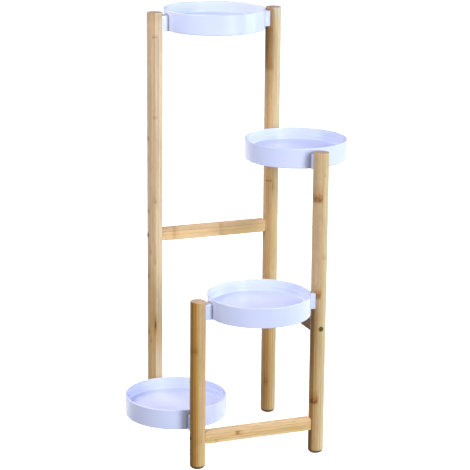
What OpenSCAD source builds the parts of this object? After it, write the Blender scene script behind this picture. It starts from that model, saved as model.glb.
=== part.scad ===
// Plant stand with four round trays that climb like a spiral stair round the four sides of a square.
// Round bamboo legs stand on the corners, bolted rails join three of the sides, and a moulded tray
// hangs between the two legs of every side by two saddle lugs.
// Millimetres, +Z up, origin on the floor in the middle of the footprint.
// The sides are numbered 0 back, 1 right, 2 front, 3 left. Leg k stands where side k begins, seen from
// outside the square. Everything on a side is drawn for the back side and turned to its place.

/* [Footprint] */
// Side of the square on whose corners the leg axes stand
leg_span = 260; // [250:1:320]

/* [Legs] */
// Diameter of the round legs
leg_d = 32; // [28:0.5:36]
// Height of the two tall legs at the back
tall_leg_h = 888; // [760:1:1000]
// Height of the middle leg, front right
middle_leg_h = 634; // [520:1:700]
// Height of the short leg, front left
short_leg_h = 352; // [346:2:450]
// Radius of the round at the foot of each leg
foot_round = 8; // [2:0.5:10]
// Radius of the small round at the top of each leg
top_round = 1.5; // [0.5:0.25:4]

/* [Rails] */
// Thickness of a rail, seen from above
rail_t = 15; // [12:0.5:18]
// Height of a rail's section
rail_h = 27.5; // [16:0.5:36]
// Radius of the rail's long edges
rail_round = 1.5; // [1:0.25:5]
// Radius of the rail's corners at the legs, seen from the side
rail_end_round = 5; // [1:0.5:8]
// Height of the back rail's centre line
back_rail_z = 422.5; // [360:0.5:520]
// Height of the right rail's centre line
right_rail_z = 270; // [220:1:290]
// Height of the front rail's centre line
front_rail_z = 64.5; // [45:0.5:66]

/* [Trays] */
// Gap between a tray's wall and the faces of the legs beside it, which the lugs bridge
tray_leg_gap = 9.5; // [7:0.5:24]
// Height of a tray's wall
tray_h = 41.5; // [38:0.5:48]
// Depth from the rim to the tray's floor
tray_depth = 24.5; // [18:0.5:26]
// Thickness of the wall at the rim
rim_t = 3.6; // [2.4:0.2:5]
// Depth from the rim to the step in the inner wall
step_depth = 13.5; // [8:0.5:15]
// Width of the step in the inner wall
step_w = 1.6; // [0.8:0.2:3]
// Radius where the inner wall meets the floor
floor_round = 3; // [1:0.5:5]
// Thickness of the floor
floor_t = 2.5; // [2:0.1:3]
// Thickness of the skirt below the floor
skirt_t = 3.2; // [2.4:0.2:5]
// Height of the rims over the tops of the legs
rim_rise = 3; // [0:0.5:8]
// Height of the lowest tray's rim above the ground
low_rim_z = 116; // [114:1:240]

/* [Tray lugs] */
// Width of a lug
lug_w = 23; // [18:0.5:26]
// Depth from the rim to the top of a lug
lug_drop = 9.5; // [4:0.5:12]
// Wall thickness of the hollow lug
lug_wall = 2.4; // [1.6:0.2:3]
// Thickness of the saddle pad that bears on the leg
saddle_t = 3; // [2:0.2:4]
// Radius of a lug's top edges
lug_round = 1.5; // [0.5:0.25:2]
// Thickness that a lug's root adds to the tray's wall
lug_root = 0.5; // [0.2:0.1:1]

/* [Tray ribs] */
// Number of spokes under a tray
spoke_count = 8; // [4:2:12]
// Thickness of the ribs
rib_t = 1.8; // [1.2:0.2:2.6]
// Depth of the ribs under the floor
rib_h = 6; // [3:0.5:8]
// Diameter of the hub ring under the floor
hub_ring_d = 44; // [30:1:70]
// Diameter of the outer ring under the floor
outer_ring_d = 124; // [90:1:150]

/* [Fasteners] */
// Shank diameter of the bolts
bolt_d = 6; // [5:0.5:6.5]
// Diameter of the bolt heads
head_d = 10; // [9:0.25:10.5]
// Height of the bolt heads
head_h = 6; // [4:0.5:6]
// Width across flats of the hexagon socket
socket_w = 5; // [3:0.5:5.5]
// Depth of the hexagon socket
socket_depth = 3; // [2:0.5:3.5]
// Depth of the counterbore in a leg
counterbore_depth = 8; // [7:0.5:10]
// Outside diameter of the threaded inserts
insert_d = 10; // [8:0.5:11]
// Length of the threaded inserts
insert_l = 13; // [8:0.5:15]
// Height of the thrust pad that a tray bolt's head bears on
pad_h = 1.4; // [1:0.2:3]
// Diameter of the boss round a tray bolt
boss_d = 12; // [10.5:0.25:12.5]

/* [Clearances] */
// Gap between a leg and what is coped to it
seat_gap = 0.2; // [0.1:0.05:0.5]
// Radial gap round a bolt's shank
shank_gap = 0.3; // [0.2:0.05:0.5]
// Radial gap round a bolt's head in its counterbore
head_gap = 0.4; // [0.25:0.05:0.6]
// Radial gap between an insert and the wood round it
insert_gap = 0.1; // [0.05:0.05:0.2]
// Radial gap between a bolt and its insert's bore
thread_gap = 0.1; // [0.05:0.05:0.2]
// Distance that an insert lies below the wood's surface
insert_set = 0.5; // [0.2:0.1:1]
// Distance from a bolt's tip to the far end of its insert
tip_gap = 2; // [1:0.5:4]
// Free depth behind an insert
drill_spare = 1.5; // [1:0.5:3]

/* [Hidden] */
$fn = 96;
// How far a cut or a joined solid runs past the faces it meets
overcut = 0.5;
sides = ["back", "right", "front", "left"];
leg_places = ["back_left", "back_right", "front_right", "front_left"];
railed_sides = [0, 1, 2];
half_span = leg_span / 2;
leg_r = leg_d / 2;
leg_heights = [tall_leg_h, tall_leg_h, middle_leg_h, short_leg_h];
rail_zs = [back_rail_z, right_rail_z, front_rail_z];
rim_zs = [tall_leg_h + rim_rise, middle_leg_h + rim_rise, short_leg_h + rim_rise, low_rim_z];

// Heights in a tray, from its lower edge
floor_z = tray_h - tray_depth;
recess_h = floor_z - floor_t;
step_z = tray_h - step_depth;
lug_h = tray_h - lug_drop;
tray_bolt_z = recess_h / 2;

// Radii in a tray, from its centre
tray_r = half_span - leg_r - tray_leg_gap;
upper_r = tray_r - rim_t;
lower_r = upper_r - step_w;
skirt_r = tray_r - skirt_t;
skirt_round = skirt_t * 0.6;
step_round = step_w * 0.5;

// Places along a side, from the middle of the side
leg_face = half_span - leg_r;
cope_r = leg_r + seat_gap;
cope_face = half_span - cope_r;
rail_tip = half_span - sqrt(pow(cope_r, 2) - pow(rail_t / 2, 2));
pad_face = skirt_r - pad_h;
tray_insert_x = leg_face + insert_set;
tray_bolt_l = tray_insert_x + insert_l - tip_gap - pad_face;
rail_insert_x = cope_face - insert_set;
rail_bolt_seat = half_span + leg_r - counterbore_depth;
rail_bolt_l = rail_bolt_seat - (rail_insert_x - insert_l + tip_gap);

// Chamfers and grooves on the metal parts
head_chamfer = 0.6;
tip_chamfer = 1;
groove_w = 1.2;
groove_depth = 0.5;
groove_pitch = 2.4;

bamboo_colour = "#d3a76c";
tray_colour = "#e6eaf8";
steel_colour = "#b9b4a6";
brass_colour = "#c9a24e";

function side_names(prefix, list) = [for (side = list) str(prefix, sides[side])];
function end_names(prefix, list) = [for (side = list, end = [1, 2]) str(prefix, sides[side], "_", end)];

// Puts what is drawn for the back side at a height on any side of the square
module on_side(side, z) {
    rotate([0, 0, -90 * side]) translate([0, half_span, z]) children();
}

// End 1 of a side lies at -X as drawn, end 2 at +X
module at_end(end) {
    if (end == 1) mirror([1, 0, 0]) children();
    else children();
}

// A cylinder along +X that starts at x
module rod_x(x, length, r) {
    translate([x, 0, 0]) rotate([0, 90, 0]) cylinder(h = length, r = r);
}

// The corner of a square at the origin that lies outside a round of radius r
module round_off(r) {
    difference() {
        translate([-overcut, -overcut]) square(r + overcut);
        translate([r, r]) circle(r = r);
    }
}

// A leg without its holes: turned bar, well rounded at the foot and eased at the top
module leg_blank(height) {
    rotate_extrude() difference() {
        square([leg_r, height]);
        translate([leg_r, 0]) mirror([1, 0]) round_off(foot_round);
        translate([leg_r, height]) mirror([1, 0]) mirror([0, 1]) round_off(top_round);
    }
}

// The holes that a side makes in the leg at its first end, which it leaves along +X
module leg_holes(side) {
    if (side < len(rail_zs)) translate([0, 0, rail_zs[side]]) {
        rod_x(-leg_r - overcut, leg_d + 2 * overcut, bolt_d / 2 + shank_gap);
        rod_x(-leg_r - overcut, counterbore_depth + overcut, head_d / 2 + head_gap);
    }
    translate([0, 0, rim_zs[side] - tray_h + tray_bolt_z])
        rod_x(leg_r - insert_set - insert_l - drill_spare,
            insert_set + insert_l + drill_spare + overcut, insert_d / 2 + insert_gap);
}

module leg(index) {
    color(bamboo_colour)
        rotate([0, 0, -90 * index]) translate([-half_span, half_span, 0]) difference() {
            leg_blank(leg_heights[index]);
            leg_holes(index);
            rotate([0, 0, -90]) leg_holes((index + 3) % len(sides));
        }
}

// Section of a rail: a bar with eased long edges
module rail_section() {
    square([rail_t - 2 * rail_round, rail_h], center = true);
    square([rail_t, rail_h - 2 * rail_round], center = true);
    for (x = [-1, 1], z = [-1, 1])
        translate([x * (rail_t / 2 - rail_round), z * (rail_h / 2 - rail_round)]) circle(r = rail_round);
}

// What is cut from a rail's end: the cope for the leg, the hole for the insert and two eased corners
module rail_end_cuts() {
    translate([half_span, 0, -rail_h]) cylinder(h = 2 * rail_h, r = cope_r);
    rod_x(rail_insert_x - insert_l - drill_spare, leg_r + insert_l, insert_d / 2 + insert_gap);
    for (under = [0, 1]) mirror([0, 0, under]) translate([rail_tip, 0, rail_h / 2])
        rotate([90, 0, 0]) linear_extrude(height = 2 * rail_t, center = true)
            mirror([1, 0]) mirror([0, 1]) round_off(rail_end_round);
}

// A rail: a bar with coped ends
module rail(side) {
    color(bamboo_colour) on_side(side, rail_zs[side]) difference() {
        rotate([90, 0, 90]) linear_extrude(height = leg_span, center = true) rail_section();
        for (end = [1, 2]) at_end(end) rail_end_cuts();
    }
}

// Half section of the dish: round rim, stepped inner wall, filleted floor and open skirt
module dish_section() {
    rim_r = rim_t / 2;
    translate([tray_r - rim_r, tray_h - rim_r]) circle(r = rim_r);
    translate([upper_r, floor_z]) square([rim_t, tray_h - rim_r - floor_z]);
    difference() {
        translate([lower_r, floor_z]) square([tray_r - lower_r, step_z - floor_z]);
        translate([lower_r, step_z]) mirror([0, 1]) round_off(step_round);
    }
    translate([0, recess_h]) square([tray_r, floor_t]);
    difference() {
        translate([lower_r - floor_round, floor_z]) square(floor_round + step_w / 2);
        translate([lower_r - floor_round, floor_z + floor_round]) circle(r = floor_round);
        translate([lower_r - floor_round - overcut, floor_z + floor_round])
            square([floor_round + overcut, floor_round]);
    }
    difference() {
        translate([skirt_r, 0]) square([skirt_t, floor_z]);
        translate([tray_r, 0]) mirror([1, 0]) round_off(skirt_round);
    }
}

// Spokes and rings that stiffen the floor from below
module floor_ribs() {
    translate([0, 0, recess_h - rib_h]) {
        for (d = [hub_ring_d, outer_ring_d]) difference() {
            cylinder(h = rib_h + overcut, r = d / 2 + rib_t / 2);
            translate([0, 0, -overcut]) cylinder(h = rib_h + 3 * overcut, r = d / 2 - rib_t / 2);
        }
        for (i = [0:spoke_count - 1]) rotate([0, 0, (i + 0.5) * 360 / spoke_count])
            translate([hub_ring_d / 2, -rib_t / 2, 0])
                cube([skirt_r - hub_ring_d / 2 + overcut, rib_t, rib_h + overcut]);
    }
}

// A block that runs along +X from x to a saddle of radius r round the leg, with eased top edges
module lug_block(x, width, height, r) {
    difference() {
        translate([x, 0, 0]) rotate([90, 0, 90]) linear_extrude(height = half_span - x) {
            translate([-width / 2, 0]) square([width, height - lug_round]);
            translate([lug_round - width / 2, 0]) square([width - 2 * lug_round, height]);
            for (y = [-1, 1])
                translate([y * (width / 2 - lug_round), height - lug_round]) circle(r = lug_round);
        }
        translate([half_span, 0, -overcut]) cylinder(h = height + 2 * overcut, r = r);
    }
}

// A lug: hollow from below, with a concave saddle for the leg
module lug() {
    difference() {
        lug_block(skirt_r, lug_w, lug_h, cope_r);
        translate([0, 0, -overcut]) lug_block(
            tray_r + lug_root, lug_w - 2 * lug_wall, lug_h - lug_wall + overcut, cope_r + saddle_t
        );
    }
}

// The boss that carries a tray bolt from its thrust pad through the lug to the saddle
module bolt_boss() {
    intersection() {
        translate([0, 0, tray_bolt_z]) rod_x(pad_face, cope_face + saddle_t - pad_face, boss_d / 2);
        linear_extrude(height = recess_h + overcut) difference() {
            translate([0, -boss_d]) square([half_span, 2 * boss_d]);
            translate([half_span, 0]) circle(r = cope_r);
        }
    }
}

module tray(side) {
    color(tray_colour) on_side(side, rim_zs[side] - tray_h) difference() {
        union() {
            rotate_extrude() dish_section();
            floor_ribs();
            for (end = [1, 2]) at_end(end) {
                lug();
                bolt_boss();
            }
        }
        for (end = [1, 2]) at_end(end) translate([0, 0, tray_bolt_z])
            rod_x(pad_face - overcut, leg_r + cope_face - pad_face, bolt_d / 2 + shank_gap);
    }
}

// A socket head bolt along +X, with the underside of its head at x = 0
module bolt(length) {
    difference() {
        rotate([0, 90, 0]) rotate_extrude() polygon([
            [0, -head_h],
            [head_d / 2 - head_chamfer, -head_h],
            [head_d / 2, -head_h + head_chamfer],
            [head_d / 2, 0],
            [bolt_d / 2, 0],
            [bolt_d / 2, length - tip_chamfer],
            [bolt_d / 2 - tip_chamfer, length],
            [0, length]
        ]);
        translate([-head_h - overcut, 0, 0]) rotate([0, 90, 0])
            cylinder(h = socket_depth + overcut, d = socket_w / cos(30), $fn = 6);
    }
}

// A threaded insert along +X from x = 0: a sleeve with gripping ridges
module insert() {
    grooves = floor((insert_l - groove_pitch) / groove_pitch);
    rotate([0, 90, 0]) rotate_extrude() difference() {
        translate([bolt_d / 2 + thread_gap, 0]) square([(insert_d - bolt_d) / 2 - thread_gap, insert_l]);
        for (i = [1:grooves])
            translate([insert_d / 2 - groove_depth, i * groove_pitch - groove_w / 2])
                square([groove_depth + overcut, groove_w]);
    }
}

module rail_bolt(side, end) {
    color(steel_colour) on_side(side, rail_zs[side]) at_end(end)
        translate([rail_bolt_seat, 0, 0]) mirror([1, 0, 0]) bolt(rail_bolt_l);
}

module rail_insert(side, end) {
    color(brass_colour) on_side(side, rail_zs[side]) at_end(end)
        translate([rail_insert_x - insert_l, 0, 0]) insert();
}

module tray_bolt(side, end) {
    color(steel_colour) on_side(side, rim_zs[side] - tray_h + tray_bolt_z) at_end(end)
        translate([pad_face, 0, 0]) bolt(tray_bolt_l);
}

module tray_insert(side, end) {
    color(brass_colour) on_side(side, rim_zs[side] - tray_h + tray_bolt_z) at_end(end)
        translate([tray_insert_x, 0, 0]) insert();
}

for (index = [0:3])
    leg(index);

for (side = railed_sides)
    rail(side);

for (side = [0:3])
    tray(side);

for (side = railed_sides, end = [1, 2]) {
    rail_bolt(side, end);
    rail_insert(side, end);
}

for (side = [0:3], end = [1, 2]) {
    tray_bolt(side, end);
    tray_insert(side, end);
}
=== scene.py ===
"""Plant stand with four trays: finishes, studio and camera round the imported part.

Metres and +Z up, as in the part. Inside the finishes lengths are millimetres, because grain, nodes and
moulding marks are described in them.
"""

import math

import bpy
from mathutils import Matrix, Vector


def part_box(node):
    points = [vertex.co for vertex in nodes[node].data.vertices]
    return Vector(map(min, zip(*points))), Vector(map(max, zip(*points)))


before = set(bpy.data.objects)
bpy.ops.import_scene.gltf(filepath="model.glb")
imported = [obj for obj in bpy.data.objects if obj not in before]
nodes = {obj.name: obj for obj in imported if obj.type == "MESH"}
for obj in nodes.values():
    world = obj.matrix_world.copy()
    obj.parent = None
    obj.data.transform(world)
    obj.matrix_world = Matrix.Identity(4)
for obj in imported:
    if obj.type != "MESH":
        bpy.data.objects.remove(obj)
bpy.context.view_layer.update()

# Camera, fitted to the edges of the photograph
PHOTO_SIZE = 470
FOCAL_PX = 1953.5
CENTRE_PX = (235.7, 245.6)
SENSOR_MM = 36
CAMERA_YAW = math.radians(21.53)
CAMERA_PITCH = math.radians(15.29)
CAMERA_ROLL = math.radians(0.54)
CAMERA_DISTANCE = 4.005
CAMERA_TARGET = Vector((0, 0, 0.42))

MM = 1000
UP = Vector((0, 0, 1))


def half_size(node, axis):
    """Half of a node's extent along x, y or z (0, 1 or 2), in millimetres."""
    low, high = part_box(node)
    return (high[axis] - low[axis]) / 2 * MM


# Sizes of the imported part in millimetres: a leg's radius, half the height of a rail and a tray's radius
LEG_RADIUS = half_size("leg_back_right", 0)
RAIL_REACH = half_size("rail_back", 2)
TRAY_RADIUS = half_size("tray_back", 1)


def make_camera():
    """The photograph's viewpoint: from the front, a little to the left and above."""
    ahead = Vector((
        math.sin(CAMERA_YAW) * math.cos(CAMERA_PITCH),
        math.cos(CAMERA_YAW) * math.cos(CAMERA_PITCH),
        -math.sin(CAMERA_PITCH),
    ))
    level_right = Vector((math.cos(CAMERA_YAW), -math.sin(CAMERA_YAW), 0))
    level_up = level_right.cross(ahead)
    right = math.cos(CAMERA_ROLL) * level_right + math.sin(CAMERA_ROLL) * level_up
    up = right.cross(ahead)
    data = bpy.data.cameras.new("camera")
    data.sensor_width = SENSOR_MM
    data.lens = SENSOR_MM * FOCAL_PX / PHOTO_SIZE
    data.shift_x = (PHOTO_SIZE / 2 - CENTRE_PX[0]) / PHOTO_SIZE
    data.shift_y = (CENTRE_PX[1] - PHOTO_SIZE / 2) / PHOTO_SIZE
    camera = bpy.data.objects.new("camera", data)
    turn = Matrix((right, up, -ahead)).transposed().to_4x4()
    camera.matrix_world = Matrix.Translation(CAMERA_TARGET - CAMERA_DISTANCE * ahead) @ turn
    bpy.context.scene.collection.objects.link(camera)
    bpy.context.scene.camera = camera


def srgb(red, green, blue):
    """A colour given in 0 to 255 display values, as the linear RGBA that shaders take."""
    def linear(v):
        v /= 255
        return v / 12.92 if v <= 0.04045 else ((v + 0.055) / 1.055) ** 2.4
    return (linear(red), linear(green), linear(blue), 1)


class Graph:
    """A material and its shader nodes. Most calls add nodes and return the last one's output."""

    def __init__(self, name):
        self.material = bpy.data.materials.new(name)
        self.material.use_nodes = True
        self.tree = self.material.node_tree
        self.bsdf = self.tree.nodes["Principled BSDF"]

    def feed(self, socket, value):
        """Join another node's output to a socket, or set the socket to a plain value."""
        if isinstance(value, bpy.types.NodeSocket):
            self.tree.links.new(value, socket)
        else:
            socket.default_value = value

    def add(self, kind, inputs, output=0, **settings):
        """A node of that kind, with its inputs fed and its settings made."""
        node = self.tree.nodes.new(kind)
        for key, value in settings.items():
            setattr(node, key, value)
        for key, value in inputs.items():
            self.feed(node.inputs[key], value)
        return node.outputs[output]

    def math(self, operation, a, b=0.0):
        return self.add("ShaderNodeMath", {0: a, 1: b}, operation=operation)

    def dot(self, a, b):
        return self.add("ShaderNodeVectorMath", {0: a, 1: b}, "Value", operation="DOT_PRODUCT")

    def length(self, x, y):
        """Length of a flat vector."""
        return self.math("SQRT", self.math("ADD", self.math("POWER", x, 2), self.math("POWER", y, 2)))

    def vector(self, x, y, z):
        return self.add("ShaderNodeCombineXYZ", {0: x, 1: y, 2: z})

    def place(self):
        """Place on the part, in millimetres."""
        place = self.add("ShaderNodeTexCoord", {}, "Object")
        return self.add("ShaderNodeVectorMath", {0: place, "Scale": MM}, "Vector", operation="SCALE")

    def facing_up(self):
        """1 where the surface faces up, 0 where it is upright and -1 where it faces down."""
        return self.dot(self.add("ShaderNodeNewGeometry", {}, "Normal"), UP)

    def remap(self, value, low, high, to_low=0.0, to_high=1.0, kind="SMOOTHSTEP"):
        """A step from one range to another, held at its ends."""
        inputs = {"Value": value, "From Min": low, "From Max": high, "To Min": to_low, "To Max": to_high}
        return self.add("ShaderNodeMapRange", inputs, interpolation_type=kind)

    def band(self, value, low, high, fade):
        """1 between two places and 0 outside them, with a fade over each."""
        return self.math("MULTIPLY", self.remap(value, low - fade, low + fade),
                         self.remap(value, high + fade, high - fade))

    def noise(self, vector, scale, detail=2.0, roughness=0.5):
        inputs = {"Vector": vector, "Scale": scale, "Detail": detail, "Roughness": roughness}
        return self.add("ShaderNodeTexNoise", inputs)

    def mix(self, factor, a, b, blend="MIX"):
        inputs = {0: factor, 6: a, 7: b}
        return self.add("ShaderNodeMix", inputs, 2, data_type="RGBA", blend_type=blend)

    def ramp(self, value, stops):
        """A colour ramp through (place from 0 to 1, colour) stops."""
        node = self.tree.nodes.new("ShaderNodeValToRGB")
        elements = node.color_ramp.elements
        while len(elements) < len(stops):
            elements.new(1.0)
        for element, (place, colour) in zip(elements, stops):
            element.position = place
            element.color = colour
        self.feed(node.inputs[0], value)
        return node.outputs[0]

    def bump(self, height, strength):
        """Give the surface a fine relief, with its height in millimetres."""
        inputs = {"Height": height, "Strength": strength, "Distance": 1 / MM}
        self.feed(self.bsdf.inputs["Normal"], self.add("ShaderNodeBump", inputs))

    def set(self, **values):
        """Feed the shader's own inputs, named in small letters with underscores."""
        for name, value in values.items():
            self.feed(self.bsdf.inputs[name.replace("_", " ").title().replace("Ior", "IOR")], value)


# Tones of the bamboo slats, of the glue lines between them and of their cut ends
ROSE = srgb(198, 171, 150)
TAN = srgb(202, 170, 134)
FAWN = srgb(199, 169, 130)
SAND = srgb(213, 179, 136)
CREAM = srgb(227, 199, 163)
STRAW = srgb(225, 200, 166)
OLIVE = srgb(208, 185, 146)
HONEY = srgb(199, 160, 110)
BISCUIT = srgb(209, 173, 127)
TOFFEE = srgb(194, 151, 90)
AMBER = srgb(173, 119, 46)
BARK = srgb(138, 98, 44)
PEACH = srgb(236, 194, 143)
WHEAT = srgb(231, 190, 139)
OAT = srgb(230, 193, 147)
BLOND = srgb(239, 201, 156)
ALMOND = srgb(216, 180, 142)
SEAM = srgb(172, 138, 96)
END_GRAIN = srgb(190, 168, 154)
# Painted shade: the cut ends of the two tall legs, darker than the others
SHADED_END_GRAIN = srgb(164, 149, 141)

# What a node, stain or patch multiplies the tone of a slat by; some of the patches paint shade or light
# instead
NODE_TINT = (0.56, 0.34, 0.14, 1)
RED_TINT = (0.50, 0.24, 0.11, 1)
OLIVE_TINT = (0.40, 0.35, 0.22, 1)
GOLD_TINT = (0.80, 0.62, 0.36, 1)
SUN_TINT = (0.97, 0.88, 0.62, 1)
SIDE_SHADE_TINT = (0.80, 0.74, 0.60, 1)
COOL_SHADE_TINT = (0.84, 0.84, 0.95, 1)
SHADE_TINT = (0.40, 0.30, 0.16, 1)
BROWN_TINT = (0.40, 0.26, 0.10, 1)
DARK_TINT = (0.30, 0.17, 0.05, 1)
RUST_TINT = (0.66, 0.36, 0.10, 1)
STAIN_AND_SHADOW_TINT = (0.20, 0.16, 0.06, 1)
DARK_RED_TINT = (0.34, 0.14, 0.05, 1)
LEAF_TINT = (0.95, 0.98, 0.62, 1)
TAN_TINT = (0.93, 0.90, 0.80, 1)
SOFT_TINT = (0.88, 0.86, 0.85, 1)
WARM_LIGHT_TINT = (1.12, 0.98, 0.70, 1)
GLOW_TINT = (1.13, 1.06, 0.95, 1)
PALE_TINT = (0.92, 1.02, 1.32, 1)

# The same for the pores of a cut end, for the raw wood in a hole, darkened with painted shade, and for the
# painted contact shade at a leg's foot
PORE_TINT = (0.42, 0.30, 0.2, 1)
HOLE_SHADE_TINT = (0.03, 0.02, 0.012, 1)
FOOT_SHADE_TINT = (0.12, 0.08, 0.04, 1)

# The two tones between which the plastic waves, and the painted shade, warmed as by light off the wood,
# that its corners by the lugs multiply them by
PLASTIC_COOL = (0.645, 0.685, 0.98, 1)
PLASTIC_WARM = (0.665, 0.70, 0.98, 1)
CORNER_SHADE_TINT = (0.48, 0.48, 0.33, 1)

# Millimetres: how far from a leg's middle the painted corner shade reaches, how far inside a tray's outline
# it is at its full strength, and the fade at both
CORNER_SHADE_REACH = 32
CORNER_SHADE_INSET = 1
CORNER_SHADE_FADE = 2
# Metres: how far apart the two walls of such a corner are at most
CORNER_SIZE = 0.006

# Profile of a node along the grain: a soft flank, the dark line itself and a longer flank above it
NODE_PROFILE = [(0.0, 0.0), (0.18, 0.35), (0.3, 1.0), (0.42, 0.85), (0.6, 0.4), (1.0, 0.0)]
# The share of that profile that lies below the height given for a node
NODE_BELOW = 0.34

# Millimetres: half a glue line, how far apart two slats take their grain, how far a node wavers up and
# down, and half the fade at the sides of a node and of a patch
HALF_SEAM = 0.35
GRAIN_SHIFT = 900
WAVER = 5
NODE_FADE = 0.8
PATCH_FADE = 1

# Millimetres, each a fade from one to the other: heights on a leg over which the painted shade at its foot
# sets in, heights above which it has holes, and depths below its top from which it has them
FOOT_SHADE_FADE = (9.5, 4)
HOLES_FROM = (10, 13)
HOLES_BELOW_TOP = (2, 4)

# How much streaks change the tone and how much the lacquer shines, on a leg and on a rail
LEG_SWING = 0.15
RAIL_SWING = 0.08
LEG_SHINE = 0.2
RAIL_SHINE = 0.07

# Roughness of the lacquer and of the plastic from its smoothest to its roughest, what a tray's worn floor
# adds, and the roughness of raw wood
LACQUER_ROUGHNESS = (0.34, 0.52)
PLASTIC_ROUGHNESS = (0.14, 0.18)
WORN_ROUGHNESS = 0.16
RAW_ROUGHNESS = 0.75


def grey(level):
    """A plain level as a colour."""
    return (level, level, level, 1)


class Bar:
    """A bamboo bar glued from slats. Slats are given as the place where each ends and its tone. Nodes are
    (height, start, end, size, tint, strength) and patches (low, high, start, end, fade, tint, strength),
    where start and end are places across the slats and the rest lies along the bar. Millimetres."""

    def __init__(self, reach, slats, marks=(), patches=(), end_grain=END_GRAIN):
        self.reach = reach
        self.slats = slats
        self.marks = marks
        self.patches = patches
        self.end_grain = end_grain


def slat_stops(bar, seam_width, colours):
    """Ramp stops over the bar's width, one flat stretch for each slat and a thin seam between two."""
    stops = []
    low = -bar.reach
    for (end, _), colour in zip(bar.slats, colours):
        stops.append(((low + bar.reach + seam_width) / (2 * bar.reach), colour))
        stops.append(((end + bar.reach - seam_width) / (2 * bar.reach), colour))
        if seam_width and end < bar.reach:
            stops.append(((end + bar.reach) / (2 * bar.reach), SEAM))
        low = end
    return stops


def slat_tone(g, bar, height, side, deep, swing):
    """Tone of the slats, and the fibre in it. Each slat shows a stretch of grain of its own."""
    share = g.remap(side, -bar.reach, bar.reach, kind="LINEAR")
    tone = g.ramp(share, slat_stops(bar, HALF_SEAM, [tone for _, tone in bar.slats]))
    levels = [grey((i * 0.37) % 1) for i in range(len(bar.slats))]
    shift = g.ramp(share, slat_stops(bar, 0.0, levels))
    run = g.math("ADD", height, g.math("MULTIPLY", shift, GRAIN_SHIFT))

    def grain(stretch, scale, detail, roughness):
        return g.noise(g.vector(side, deep, g.math("MULTIPLY", run, stretch)), scale, detail, roughness)

    streak = grain(stretch=0.008, scale=0.42, detail=3, roughness=0.55)
    fibre = grain(stretch=0.02, scale=2.4, detail=3, roughness=0.6)
    bundle = grain(stretch=0.035, scale=1.7, detail=1, roughness=0.4)
    cloud = grain(stretch=0.25, scale=0.05, detail=2, roughness=0.5)
    tone = g.mix(1.0, tone, g.remap(streak, 0.25, 0.75, 1 - swing, 1 + swing), "MULTIPLY")
    tone = g.mix(1.0, tone, g.remap(fibre, 0.2, 0.8, 0.91, 1.09), "MULTIPLY")
    tone = g.mix(1.0, tone, g.remap(cloud, 0.3, 0.7, 0.93, 1.05), "MULTIPLY")
    tone = g.mix(g.remap(bundle, 0.60, 0.72, 0.0, 0.4), tone, grey(0.5), "MULTIPLY")
    return tone, fibre


def marked_tone(g, bar, tone, height, side, deep):
    """The tone with the bar's nodes, stains and patches in it, some patches being painted shade or light,
    and how strong the nodes are.
    """
    waver = g.noise(g.vector(side, deep, g.math("MULTIPLY", height, 0.3)), scale=0.35, roughness=0.6)
    level = g.math("ADD", height, g.math("MULTIPLY", g.math("SUBTRACT", waver, 0.5), WAVER))
    blotch = g.noise(g.vector(side, deep, height), scale=0.3, roughness=0.6)
    uneven = g.remap(blotch, 0.32, 0.6, 0.55, 1.0)
    tints = {}
    ring = 0.0
    for middle, start, end, size, tint, strength in bar.marks:
        low = middle - NODE_BELOW * size
        rise = g.remap(level, low, low + size, kind="LINEAR")
        node = g.ramp(rise, [(at, grey(value)) for at, value in NODE_PROFILE])
        shape = g.math("MULTIPLY", node, g.band(side, start, end, NODE_FADE))
        factor = g.math("MULTIPLY", shape, g.math("MULTIPLY", uneven, strength))
        tints[tint] = g.math("MAXIMUM", tints.get(tint, 0.0), factor)
        ring = g.math("MAXIMUM", ring, factor)
    for low, high, start, end, fade, tint, strength in bar.patches:
        shape = g.math("MULTIPLY", g.band(side, start, end, PATCH_FADE), g.band(level, low, high, fade))
        factor = g.math("MULTIPLY", shape, strength)
        tints[tint] = g.math("MAXIMUM", tints.get(tint, 0.0), factor)
    for tint, factor in tints.items():
        tone = g.mix(factor, tone, tint, "MULTIPLY")
    return tone, ring


def worked_tone(g, bar, tone, height, side, deep, length):
    """A leg's tone with its turned ends, its holes and foot darkened with painted shade, and where the wood
    is raw.
    """
    level = g.math("ABSOLUTE", g.facing_up())

    # The ends show the cut fibres as dots
    pores = g.add("ShaderNodeTexVoronoi", {"Vector": g.vector(side, deep, 0.0), "Scale": 1.15})
    end_tone = g.mix(0.75, tone, bar.end_grain)
    end_tone = g.mix(g.remap(pores, 0.32, 0.18, 0.0, 0.4), end_tone, PORE_TINT, "MULTIPLY")
    is_end = g.remap(level, 0.8, 0.95)
    tone = g.mix(is_end, tone, end_tone)

    # The wall of a hole lies inside the leg's round face and clear of its rounded ends
    radius = g.length(side, deep)
    inner = g.remap(radius, LEG_RADIUS - 0.1, LEG_RADIUS - 0.4)
    sideways = g.remap(level, 0.7, 0.5)
    depth = g.math("SUBTRACT", length, height)
    off_ends = g.math("MULTIPLY", g.remap(height, *HOLES_FROM), g.remap(depth, *HOLES_BELOW_TOP))
    in_hole = g.math("MULTIPLY", g.math("MULTIPLY", inner, sideways), off_ends)
    # Painted shade: the walls of a hole go almost black, far darker than raw wood
    tone = g.mix(in_hole, tone, HOLE_SHADE_TINT, "MULTIPLY")
    # Painted contact shade darkens the foot
    tone = g.mix(g.remap(height, *FOOT_SHADE_FADE), tone, FOOT_SHADE_TINT, "MULTIPLY")
    return tone, g.math("MAXIMUM", in_hole, is_end)


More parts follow.
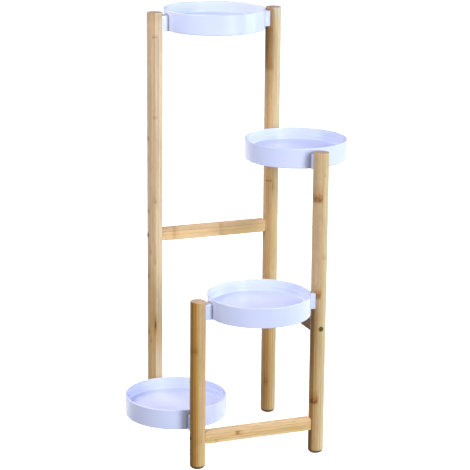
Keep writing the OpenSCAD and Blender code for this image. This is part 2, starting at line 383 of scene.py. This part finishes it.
def bamboo(name, bar, middle, along, across, leg_length=None):
    """Lacquered laminated bamboo. Grain runs along one axis and slats are stacked across it."""
    g = Graph(name)
    place = g.add("ShaderNodeVectorMath", {0: g.place(), 1: middle * MM}, "Vector", operation="SUBTRACT")
    height = g.dot(place, along)
    side = g.dot(place, across)
    deep = g.dot(place, along.cross(across))
    tone, fibre = slat_tone(g, bar, height, side, deep, LEG_SWING if leg_length else RAIL_SWING)
    tone, ring = marked_tone(g, bar, tone, height, side, deep)
    rough = g.remap(fibre, 0.2, 0.8, *LACQUER_ROUGHNESS)
    if leg_length:
        tone, raw = worked_tone(g, bar, tone, height, side, deep, leg_length)
        rough = g.math("MAXIMUM", rough, g.math("MULTIPLY", raw, RAW_ROUGHNESS))
    g.set(base_color=tone, roughness=rough, specular_ior_level=LEG_SHINE if leg_length else RAIL_SHINE)
    g.bump(g.math("ADD", g.math("MULTIPLY", fibre, 0.03), g.math("MULTIPLY", ring, 0.12)), strength=0.6)
    return g.material


LEGS = {
    "leg_back_left": Bar(
        LEG_RADIUS,
        [(-9.5, ROSE), (-2.5, TAN), (1.0, FAWN), (8.0, CREAM), (LEG_RADIUS, STRAW)],
        marks=[
            (839, -5, 5, 10, OLIVE_TINT, 0.60),
            (673, -4, 6, 12, NODE_TINT, 0.60),
            (628, -16, -12, 26, BROWN_TINT, 0.80),
            (496, -1, 3, 20, OLIVE_TINT, 0.70),
            (475, -16, -11, 26, BROWN_TINT, 0.60),
            (387, -11, -7, 22, NODE_TINT, 0.45),
            (365, -1, 2.5, 26, BROWN_TINT, 0.50),
            (335, -16, -11, 22, BROWN_TINT, 0.80),
            (212, -16, -11, 26, NODE_TINT, 0.80),
            (194, -10, -6, 26, NODE_TINT, 0.60),
        ],
        patches=[
            (870, 905, -20, 20, 12, SOFT_TINT, 1.0),
            # Painted shade down the upper front of the leg
            (560, 900, -2.5, 8, 120, COOL_SHADE_TINT, 1.0),
            (-10, 330, -20, 1, 120, SUN_TINT, 0.9),
            # Painted light, warm, lifting the front tray's shadow
            (185, 240, -2, 12, 25, WARM_LIGHT_TINT, 0.8),
            # A dark stain, partly painted shadow of the front tray
            (206, 254, -8, 4, 16, GOLD_TINT, 0.30),
            (214, 244, -1.5, 3.5, 14, BROWN_TINT, 0.45),
            (222, 236, -0.2, 1.8, 7, STAIN_AND_SHADOW_TINT, 0.95),
        ],
        end_grain=SHADED_END_GRAIN,
    ),
    "leg_back_right": Bar(
        LEG_RADIUS,
        [(-9, TAN), (-0.5, HONEY), (3.0, FAWN), (9.0, SAND), (LEG_RADIUS, OLIVE)],
        marks=[
            (762, -14, 2, 36, NODE_TINT, 0.45),
            (841, -8, 0, 16, NODE_TINT, 0.35),
            (626, -12, 8, 12, NODE_TINT, 0.25),
            (520, -11, 3, 8, RED_TINT, 0.85),
            (507, 3, 7, 26, NODE_TINT, 0.50),
            (300, -9, 4, 30, NODE_TINT, 0.40),
            (72, -9, 0, 44, NODE_TINT, 0.65),
            (46, -16, -12, 20, OLIVE_TINT, 0.5),
        ],
        patches=[
            (868, 905, -20, 20, 14, PALE_TINT, 1.0),
            # Darker left side under the top tray: partly the bamboo's tone, partly painted shadow of that
            # tray
            (762, 900, -20, 0, 12, GOLD_TINT, 0.70),
            (762, 848, -20, -11, 8, OLIVE_TINT, 0.35),
            (-10, 560, -20, 20, 60, GOLD_TINT, 0.20),
            (-10, 230, -20, 20, 90, SOFT_TINT, 1.0),
            # Painted shade on the left of the lower leg
            (-10, 230, -20, -1, 90, SIDE_SHADE_TINT, 1.0),
            (-10, 230, -1, 9, 90, SUN_TINT, 0.8),
        ],
        end_grain=SHADED_END_GRAIN,
    ),
    "leg_front_right": Bar(
        LEG_RADIUS,
        [(-8, FAWN), (-2, TAN), (4.0, FAWN), (8.5, SAND), (LEG_RADIUS, OLIVE)],
        marks=[
            (589, 6, 10, 12, OLIVE_TINT, 0.35),
            (544, -16, 6, 46, RUST_TINT, 0.75),
            (538, -14, 4, 22, DARK_TINT, 0.80),
            (344, -8, 6, 42, RUST_TINT, 0.80),
            (338, -6, 4, 22, BROWN_TINT, 0.80),
            (118, -16, 4, 38, RUST_TINT, 0.80),
            (113, -15, 2, 20, DARK_RED_TINT, 0.90),
            (420, 5, 16, 24, NODE_TINT, 0.30),
        ],
        patches=[
            # Darker left side below the front tray: partly the bamboo's tone, partly painted shade
            (-10, 316, -20, -7, 4, GOLD_TINT, 1.0),
            (-10, 316, -8, -2, 10, SUN_TINT, 1.0),
            (-10, 290, -2, 4, 40, GLOW_TINT, 1.0),
            # Painted shade down the left side by the foot
            (-10, 66, -20, -9.5, 20, SHADE_TINT, 1.0),
        ],
    ),
    "leg_front_left": Bar(
        LEG_RADIUS,
        [(-9, BARK), (-3, AMBER), (1.5, TOFFEE), (9, BISCUIT), (LEG_RADIUS, BISCUIT)],
        marks=[
            (251, -16, 0, 34, BROWN_TINT, 0.50),
            (60, -6, 10, 40, NODE_TINT, 0.25),
        ],
        patches=[
            (-10, 240, -6, 6, 40, LEAF_TINT, 0.25),
        ],
    ),
}

# How far each leg is turned about its own axis, in degrees
SLAT_TURN = {"leg_back_left": 19, "leg_back_right": 23, "leg_front_right": 24, "leg_front_left": 20}

RAILS = {
    "rail_back": Bar(
        RAIL_REACH,
        [(-3, OAT), (5, OAT), (RAIL_REACH, ALMOND)],
        marks=[(-90, -14, 14, 20, NODE_TINT, 0.50), (14, -14, 14, 18, NODE_TINT, 0.40)],
        patches=[(20, 120, -14, 3, 6, LEAF_TINT, 0.15), (10, 130, -14, 14, 60, TAN_TINT, 0.35)],
    ),
    "rail_right": Bar(
        RAIL_REACH,
        [(-5, TOFFEE), (4, HONEY), (RAIL_REACH, TOFFEE)],
        marks=[(-40, -14, 4, 26, NODE_TINT, 0.45), (62, 4, 14, 26, NODE_TINT, 0.40)],
        # Painted shadow of the front tray on the rail's front end
        patches=[(-130, -68, -20, 20, 10, SHADE_TINT, 1.0)],
    ),
    "rail_front": Bar(
        RAIL_REACH,
        [(-8, BLOND), (-1, WHEAT), (5, PEACH), (RAIL_REACH, BLOND)],
        marks=[
            (-46, -3, 7, 26, NODE_TINT, 0.85),
            (-48, -1, 5, 12, OLIVE_TINT, 0.80),
            (-93, -14, -6, 14, OLIVE_TINT, 0.70),
        ],
        patches=[
            (-120, -97, -14, -6, 3, LEAF_TINT, 0.8),
            (65, 98, -12, -5, 6, LEAF_TINT, 0.8),
        ],
    ),
}


def by_lug(g, place):
    """1 beside the lugs and outside a tray's wall, else 0. Legs and trays lie evenly round the origin, so
    the place is folded onto one leg's corner and measured from that leg and the nearest tray's middle."""
    low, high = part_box("leg_back_right")
    leg_place = (low[0] + high[0]) / 2 * MM
    off_leg = []
    for axis in (Vector((1, 0, 0)), Vector((0, 1, 0))):
        reach = g.math("ABSOLUTE", g.dot(place, axis))
        off_leg.append(g.math("ABSOLUTE", g.math("SUBTRACT", reach, leg_place)))
    near_leg = g.remap(g.length(*off_leg), CORNER_SHADE_REACH, CORNER_SHADE_REACH - CORNER_SHADE_FADE)
    inward = g.math("SUBTRACT", leg_place, g.math("MAXIMUM", *off_leg))
    off_tray = g.length(inward, g.math("MINIMUM", *off_leg))
    outline = TRAY_RADIUS - CORNER_SHADE_INSET
    return g.math("MULTIPLY", near_leg, g.remap(off_tray, outline - CORNER_SHADE_FADE, outline))


def moulded_plastic():
    """Glossy cool white moulding with faint waves, a rubbed floor and painted shade, warm as from the wood,
    in the corners by the lugs.
    """
    g = Graph("tray_plastic")
    place = g.place()
    wave = g.noise(place, scale=0.03, detail=0)
    rubbed = g.noise(place, scale=0.09, detail=4, roughness=0.65)
    size = {"Distance": CORNER_SIZE}
    open_air = g.add("ShaderNodeAmbientOcclusion", size, "AO", only_local=True, samples=4)
    # Painted shade: the plastic darkens and warms in the enclosed corners beside the lugs
    corner = g.math("MULTIPLY", g.remap(open_air, 0.95, 0.6), by_lug(g, place))
    tone = g.mix(g.remap(wave, 0.3, 0.7), PLASTIC_COOL, PLASTIC_WARM)
    tone = g.mix(corner, tone, CORNER_SHADE_TINT, "MULTIPLY")
    worn = g.math("MULTIPLY", g.remap(g.facing_up(), 0.9, 0.99), WORN_ROUGHNESS)
    rough = g.math("ADD", g.remap(rubbed, 0.35, 0.7, *PLASTIC_ROUGHNESS), worn)
    g.set(base_color=tone, roughness=rough)
    g.bump(g.math("MULTIPLY", wave, 0.08), strength=0.5)
    return g.material


def metal(name, bright, dull, roughness):
    """Plated or turned metal with a cloudy tone and fine grain."""
    g = Graph(name)
    cloud = g.noise(g.place(), scale=0.5, detail=3, roughness=0.6)
    grain = g.noise(g.place(), scale=9, roughness=0.6)
    g.set(base_color=g.mix(g.remap(cloud, 0.42, 0.58), bright, dull), metallic=1.0,
          roughness=g.remap(grain, 0.3, 0.7, roughness - 0.08, roughness + 0.1))
    g.bump(g.math("MULTIPLY", grain, 0.02), strength=0.6)
    return g.material


def dress():
    """Give every piece its finish."""
    plastic = moulded_plastic()
    # Painted shade: the bolts' steel is darkened, as they sit deep in their counterbores
    shaded_steel = metal("bolt_steel", bright=srgb(128, 116, 70), dull=srgb(34, 29, 16), roughness=0.30)
    brass = metal("insert_brass", bright=srgb(222, 190, 120), dull=srgb(186, 148, 84), roughness=0.36)
    for name, obj in nodes.items():
        low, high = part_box(name)
        middle = (low + high) / 2
        if name in LEGS:
            turn = math.radians(SLAT_TURN[name])
            foot = Vector((middle.x, middle.y, 0))
            across = Vector((math.cos(turn), -math.sin(turn), 0))
            material = bamboo(name, LEGS[name], foot, UP, across, (high[2] - low[2]) * MM)
        elif name in RAILS:
            along = Vector((0, 1, 0)) if name == "rail_right" else Vector((1, 0, 0))
            material = bamboo(name, RAILS[name], middle, along, UP)
        elif "bolt" in name:
            material = shaded_steel
        elif "insert" in name:
            material = brass
        else:
            material = plastic
        for slot in obj.material_slots:
            slot.material = material


# The studio: half the side of its floor in metres, how strongly the floor glows to the camera and in glossy
# reflections, and the fill from all round
FLOOR_HALF = 14
FLOOR_GLOW = 1.05
FLOOR_GLOW_IN_GLOSS = 0.75
WORLD_FILL = 0.03


def softbox(name, bearing, elevation, distance, width, power, colour, tall=None):
    """An even light aimed at the stand's middle, square unless it is tall. Its bearing is in degrees to the
    right of the stand's front, its elevation in degrees, its sizes in metres and its power in watts."""
    around = math.radians(bearing)
    up = math.radians(elevation)
    away = Vector((math.sin(around) * math.cos(up), -math.cos(around) * math.cos(up), math.sin(up)))
    data = bpy.data.lights.new(name, "AREA")
    data.shape = "RECTANGLE"
    data.size = width
    data.size_y = tall or width
    data.energy = power
    data.color = colour
    light = bpy.data.objects.new(name, data)
    light.location = CAMERA_TARGET + distance * away
    light.rotation_euler = away.to_track_quat("Z", "Y").to_euler()
    bpy.context.scene.collection.objects.link(light)


def make_world():
    """White to the camera, and a faint fill to everything else."""
    world = bpy.data.worlds.new("studio")
    world.use_nodes = True
    tree = world.node_tree
    background = tree.nodes["Background"]
    background.inputs["Color"].default_value = (1, 1, 1, 1)
    rays = tree.nodes.new("ShaderNodeLightPath")
    level = tree.nodes.new("ShaderNodeMapRange")
    level.inputs["To Min"].default_value = WORLD_FILL
    level.inputs["To Max"].default_value = 1.0
    tree.links.new(rays.outputs["Is Camera Ray"], level.inputs["Value"])
    tree.links.new(level.outputs[0], background.inputs["Strength"])
    bpy.context.scene.world = world


def make_floor():
    """A plain white floor that glows a little, so that it stays white to its far edge."""
    mesh = bpy.data.meshes.new("floor")
    corners = [(-1, -1), (1, -1), (1, 1), (-1, 1)]
    mesh.from_pydata([(FLOOR_HALF * x, FLOOR_HALF * y, 0) for x, y in corners], [], [(0, 1, 2, 3)])
    floor = bpy.data.objects.new("floor", mesh)
    bpy.context.scene.collection.objects.link(floor)
    floor.visible_diffuse = False
    g = Graph("floor")
    seen = g.add("ShaderNodeLightPath", {}, "Is Camera Ray")
    glow = g.remap(seen, 0, 1, FLOOR_GLOW_IN_GLOSS, FLOOR_GLOW)
    g.set(base_color=(0.85, 0.85, 0.86, 1), roughness=0.8)
    g.set(emission_color=(1, 1, 1, 1), emission_strength=glow)
    mesh.materials.append(g.material)


def make_lights():
    """One tall main light from the front right, and weak ones round the stand."""
    softbox("key", 17, 19, distance=6.0, width=1.9, power=332, colour=(0.945, 1.0, 1.0), tall=4.2)
    softbox("right", 70, 15, distance=3.0, width=1.8, power=33, colour=(0.80, 1.0, 1.0))
    softbox("side_right", 95, 20, distance=2.5, width=1.2, power=16, colour=(0.95, 0.94, 1.0))
    softbox("left", -62, 18, distance=3.0, width=1.8, power=19, colour=(0.90, 1.0, 1.0))
    softbox("high_left", -80, 38, distance=1.8, width=0.8, power=16, colour=(0.96, 0.97, 1.0))
    softbox("rear_left", -150, 40, distance=3.0, width=1.8, power=59, colour=(1.0, 0.93, 1.0))
    softbox("rear_right", 150, 30, distance=3.0, width=1.8, power=5, colour=(0.96, 1.0, 1.0))


bpy.context.scene.view_settings.view_transform = "Standard"
make_camera()
dress()
make_world()
make_lights()
make_floor()
